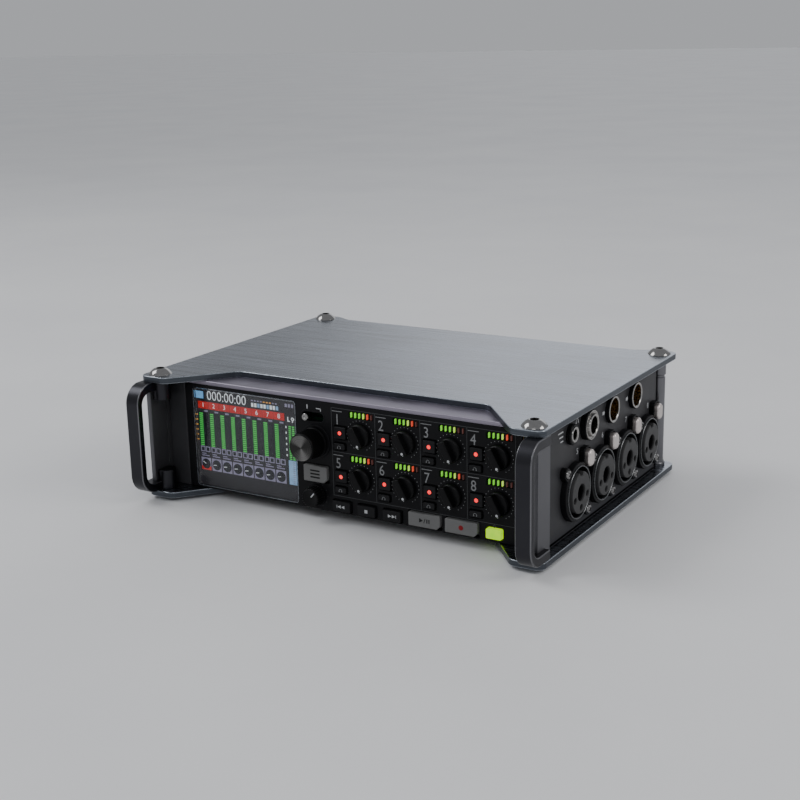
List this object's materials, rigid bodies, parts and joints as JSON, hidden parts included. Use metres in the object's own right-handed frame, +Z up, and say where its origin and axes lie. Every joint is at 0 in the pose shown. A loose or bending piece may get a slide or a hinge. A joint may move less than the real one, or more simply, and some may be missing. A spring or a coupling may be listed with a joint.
{
  "type": "portable field recorder",
  "caption": "Flat metal field recorder between two overhanging plates, with front grab handles, channel strips, a colour display, transport keys and combination sockets on both sides.",
  "frame": {"origin": "on the ground under the middle of the outer box, between the two handles", "axes": "+X to the right along the front panel, +Y from the front to the back, +Z up"},
  "size_m": [0.1782, 0.14, 0.0543],
  "materials": {
    "plate_metal": "brushed blue-grey anodised",
    "handle_metal": "satin gunmetal anodised",
    "post_metal": "satin",
    "case_metal": "fine texture",
    "cover_metal": "satin",
    "panel_black": "fine texture",
    "window": "clear",
    "display": "lit",
    "board": "solder mask",
    "socket_black": "satin",
    "screw": "polished",
    "rubber": "matte",
    "knob": "satin",
    "key_dark": "satin",
    "key_light": "satin",
    "key_green": "lit",
    "latch": "satin",
    "tray": "fine texture"
  },
  "bodies": {
    "recorder": {"top_plate": "plate_metal", "bottom_plate": "plate_metal", "handle_left": "handle_metal", "handle_right": "handle_metal", "rear_posts": "post_metal", "chassis_tray": "case_metal", "case_cover": "cover_metal", "rear_panel": "case_metal", "front_panel": "panel_black", "clear_windows": "window", "display_module": "display", "circuit_boards": "board", "combo_sockets": "socket_black", "panel_sockets": "socket_black", "corner_screws": "screw", "rubber_feet": "rubber"},
    "gain_knob_1": {"gain_knob_1": "knob"},
    "gain_knob_2": {"gain_knob_2": "knob"},
    "gain_knob_3": {"gain_knob_3": "knob"},
    "gain_knob_4": {"gain_knob_4": "knob"},
    "gain_knob_5": {"gain_knob_5": "knob"},
    "gain_knob_6": {"gain_knob_6": "knob"},
    "gain_knob_7": {"gain_knob_7": "knob"},
    "gain_knob_8": {"gain_knob_8": "knob"},
    "track_key_1": {"track_key_1": "key_dark"},
    "track_key_2": {"track_key_2": "key_dark"},
    "track_key_3": {"track_key_3": "key_dark"},
    "track_key_4": {"track_key_4": "key_dark"},
    "track_key_5": {"track_key_5": "key_dark"},
    "track_key_6": {"track_key_6": "key_dark"},
    "track_key_7": {"track_key_7": "key_dark"},
    "track_key_8": {"track_key_8": "key_dark"},
    "listen_key_1": {"listen_key_1": "key_dark"},
    "listen_key_2": {"listen_key_2": "key_dark"},
    "listen_key_3": {"listen_key_3": "key_dark"},
    "listen_key_4": {"listen_key_4": "key_dark"},
    "listen_key_5": {"listen_key_5": "key_dark"},
    "listen_key_6": {"listen_key_6": "key_dark"},
    "listen_key_7": {"listen_key_7": "key_dark"},
    "listen_key_8": {"listen_key_8": "key_dark"},
    "latch_right_1": {"latch_right_1": "latch"},
    "latch_right_2": {"latch_right_2": "latch"},
    "latch_right_3": {"latch_right_3": "latch"},
    "latch_right_4": {"latch_right_4": "latch"},
    "latch_left_1": {"latch_left_1": "latch"},
    "latch_left_2": {"latch_left_2": "latch"},
    "latch_left_3": {"latch_left_3": "latch"},
    "latch_left_4": {"latch_left_4": "latch"},
    "encoder_knob": {"encoder_knob": "knob"},
    "menu_key": {"menu_key": "key_light"},
    "phones_knob": {"phones_knob": "knob"},
    "slate_lever": {"slate_lever": "latch"},
    "rewind_key": {"rewind_key": "key_dark"},
    "stop_key": {"stop_key": "key_dark"},
    "forward_key": {"forward_key": "key_dark"},
    "play_key": {"play_key": "key_light"},
    "record_key": {"record_key": "key_light"},
    "power_key": {"power_key": "key_green"},
    "card_door": {"card_door": "case_metal"},
    "battery_tray": {"battery_tray": "tray"}
  },
  "joints": [
    {"name": "gain_turn_1", "type": "hinge", "parent": "recorder", "child": "gain_knob_1", "pos_m": [0.008, -0.0491, 0.0364], "axis": [0, -1, 0], "range_deg": [0, 300]},
    {"name": "gain_turn_2", "type": "hinge", "parent": "recorder", "child": "gain_knob_2", "pos_m": [0.02744, -0.0491, 0.0364], "axis": [0, -1, 0], "range_deg": [0, 300]},
    {"name": "gain_turn_3", "type": "hinge", "parent": "recorder", "child": "gain_knob_3", "pos_m": [0.04688, -0.0491, 0.0364], "axis": [0, -1, 0], "range_deg": [0, 300]},
    {"name": "gain_turn_4", "type": "hinge", "parent": "recorder", "child": "gain_knob_4", "pos_m": [0.06632, -0.0491, 0.0364], "axis": [0, -1, 0], "range_deg": [0, 300]},
    {"name": "gain_turn_5", "type": "hinge", "parent": "recorder", "child": "gain_knob_5", "pos_m": [0.008, -0.0491, 0.019], "axis": [0, -1, 0], "range_deg": [0, 300]},
    {"name": "gain_turn_6", "type": "hinge", "parent": "recorder", "child": "gain_knob_6", "pos_m": [0.02744, -0.0491, 0.019], "axis": [0, -1, 0], "range_deg": [0, 300]},
    {"name": "gain_turn_7", "type": "hinge", "parent": "recorder", "child": "gain_knob_7", "pos_m": [0.04688, -0.0491, 0.019], "axis": [0, -1, 0], "range_deg": [0, 300]},
    {"name": "gain_turn_8", "type": "hinge", "parent": "recorder", "child": "gain_knob_8", "pos_m": [0.06632, -0.0491, 0.019], "axis": [0, -1, 0], "range_deg": [0, 300]},
    {"name": "track_press_1", "type": "slide", "parent": "recorder", "child": "track_key_1", "axis": [0, 1, 0], "range_m": [0, 0.0008], "stiffness_N_per_m": 300},
    {"name": "track_press_2", "type": "slide", "parent": "recorder", "child": "track_key_2", "axis": [0, 1, 0], "range_m": [0, 0.0008], "stiffness_N_per_m": 300},
    {"name": "track_press_3", "type": "slide", "parent": "recorder", "child": "track_key_3", "axis": [0, 1, 0], "range_m": [0, 0.0008], "stiffness_N_per_m": 300},
    {"name": "track_press_4", "type": "slide", "parent": "recorder", "child": "track_key_4", "axis": [0, 1, 0], "range_m": [0, 0.0008], "stiffness_N_per_m": 300},
    {"name": "track_press_5", "type": "slide", "parent": "recorder", "child": "track_key_5", "axis": [0, 1, 0], "range_m": [0, 0.0008], "stiffness_N_per_m": 300},
    {"name": "track_press_6", "type": "slide", "parent": "recorder", "child": "track_key_6", "axis": [0, 1, 0], "range_m": [0, 0.0008], "stiffness_N_per_m": 300},
    {"name": "track_press_7", "type": "slide", "parent": "recorder", "child": "track_key_7", "axis": [0, 1, 0], "range_m": [0, 0.0008], "stiffness_N_per_m": 300},
    {"name": "track_press_8", "type": "slide", "parent": "recorder", "child": "track_key_8", "axis": [0, 1, 0], "range_m": [0, 0.0008], "stiffness_N_per_m": 300},
    {"name": "listen_press_1", "type": "slide", "parent": "recorder", "child": "listen_key_1", "axis": [0, 1, 0], "range_m": [0, 0.0008], "stiffness_N_per_m": 300},
    {"name": "listen_press_2", "type": "slide", "parent": "recorder", "child": "listen_key_2", "axis": [0, 1, 0], "range_m": [0, 0.0008], "stiffness_N_per_m": 300},
    {"name": "listen_press_3", "type": "slide", "parent": "recorder", "child": "listen_key_3", "axis": [0, 1, 0], "range_m": [0, 0.0008], "stiffness_N_per_m": 300},
    {"name": "listen_press_4", "type": "slide", "parent": "recorder", "child": "listen_key_4", "axis": [0, 1, 0], "range_m": [0, 0.0008], "stiffness_N_per_m": 300},
    {"name": "listen_press_5", "type": "slide", "parent": "recorder", "child": "listen_key_5", "axis": [0, 1, 0], "range_m": [0, 0.0008], "stiffness_N_per_m": 300},
    {"name": "listen_press_6", "type": "slide", "parent": "recorder", "child": "listen_key_6", "axis": [0, 1, 0], "range_m": [0, 0.0008], "stiffness_N_per_m": 300},
    {"name": "listen_press_7", "type": "slide", "parent": "recorder", "child": "listen_key_7", "axis": [0, 1, 0], "range_m": [0, 0.0008], "stiffness_N_per_m": 300},
    {"name": "listen_press_8", "type": "slide", "parent": "recorder", "child": "listen_key_8", "axis": [0, 1, 0], "range_m": [0, 0.0008], "stiffness_N_per_m": 300},
    {"name": "latch_right_press_1", "type": "slide", "parent": "recorder", "child": "latch_right_1", "axis": [-1, 0, 0], "range_m": [0, 0.0012], "stiffness_N_per_m": 300},
    {"name": "latch_right_press_2", "type": "slide", "parent": "recorder", "child": "latch_right_2", "axis": [-1, 0, 0], "range_m": [0, 0.0012], "stiffness_N_per_m": 300},
    {"name": "latch_right_press_3", "type": "slide", "parent": "recorder", "child": "latch_right_3", "axis": [-1, 0, 0], "range_m": [0, 0.0012], "stiffness_N_per_m": 300},
    {"name": "latch_right_press_4", "type": "slide", "parent": "recorder", "child": "latch_right_4", "axis": [-1, 0, 0], "range_m": [0, 0.0012], "stiffness_N_per_m": 300},
    {"name": "latch_left_press_1", "type": "slide", "parent": "recorder", "child": "latch_left_1", "axis": [1, 0, 0], "range_m": [0, 0.0012], "stiffness_N_per_m": 300},
    {"name": "latch_left_press_2", "type": "slide", "parent": "recorder", "child": "latch_left_2", "axis": [1, 0, 0], "range_m": [0, 0.0012], "stiffness_N_per_m": 300},
    {"name": "latch_left_press_3", "type": "slide", "parent": "recorder", "child": "latch_left_3", "axis": [1, 0, 0], "range_m": [0, 0.0012], "stiffness_N_per_m": 300},
    {"name": "latch_left_press_4", "type": "slide", "parent": "recorder", "child": "latch_left_4", "axis": [1, 0, 0], "range_m": [0, 0.0012], "stiffness_N_per_m": 300},
    {"name": "encoder_turn", "type": "hinge", "parent": "recorder", "child": "encoder_knob", "pos_m": [-0.0125, -0.0491, 0.0314], "axis": [0, -1, 0], "continuous": true},
    {"name": "menu_press", "type": "slide", "parent": "recorder", "child": "menu_key", "axis": [0, 1, 0], "range_m": [0, 0.0008], "stiffness_N_per_m": 300},
    {"name": "phones_turn", "type": "hinge", "parent": "recorder", "child": "phones_knob", "pos_m": [-0.0125, -0.0491, 0.0099], "axis": [0, -1, 0], "range_deg": [-108, 192]},
    {"name": "slate_slide", "type": "slide", "parent": "recorder", "child": "slate_lever", "axis": [1, 0, 0], "range_m": [0, 0.005]},
    {"name": "rewind_press", "type": "slide", "parent": "recorder", "child": "rewind_key", "axis": [0, 1, 0], "range_m": [0, 0.0008], "stiffness_N_per_m": 300},
    {"name": "stop_press", "type": "slide", "parent": "recorder", "child": "stop_key", "axis": [0, 1, 0], "range_m": [0, 0.0008], "stiffness_N_per_m": 300},
    {"name": "forward_press", "type": "slide", "parent": "recorder", "child": "forward_key", "axis": [0, 1, 0], "range_m": [0, 0.0008], "stiffness_N_per_m": 300},
    {"name": "play_press", "type": "slide", "parent": "recorder", "child": "play_key", "axis": [0, 1, 0], "range_m": [0, 0.0008], "stiffness_N_per_m": 300},
    {"name": "record_press", "type": "slide", "parent": "recorder", "child": "record_key", "axis": [0, 1, 0], "range_m": [0, 0.0008], "stiffness_N_per_m": 300},
    {"name": "power_press", "type": "slide", "parent": "recorder", "child": "power_key", "axis": [0, 1, 0], "range_m": [0, 0.0008], "stiffness_N_per_m": 300},
    {"name": "card_door_hinge", "type": "hinge", "parent": "recorder", "child": "card_door", "pos_m": [-0.084, -0.013, 0.0377], "axis": [0, -1, 0], "range_deg": [0, 95]},
    {"name": "battery_tray_slide", "type": "slide", "parent": "recorder", "child": "battery_tray", "axis": [0, 1, 0], "range_m": [0, 0.05]}
  ]
}
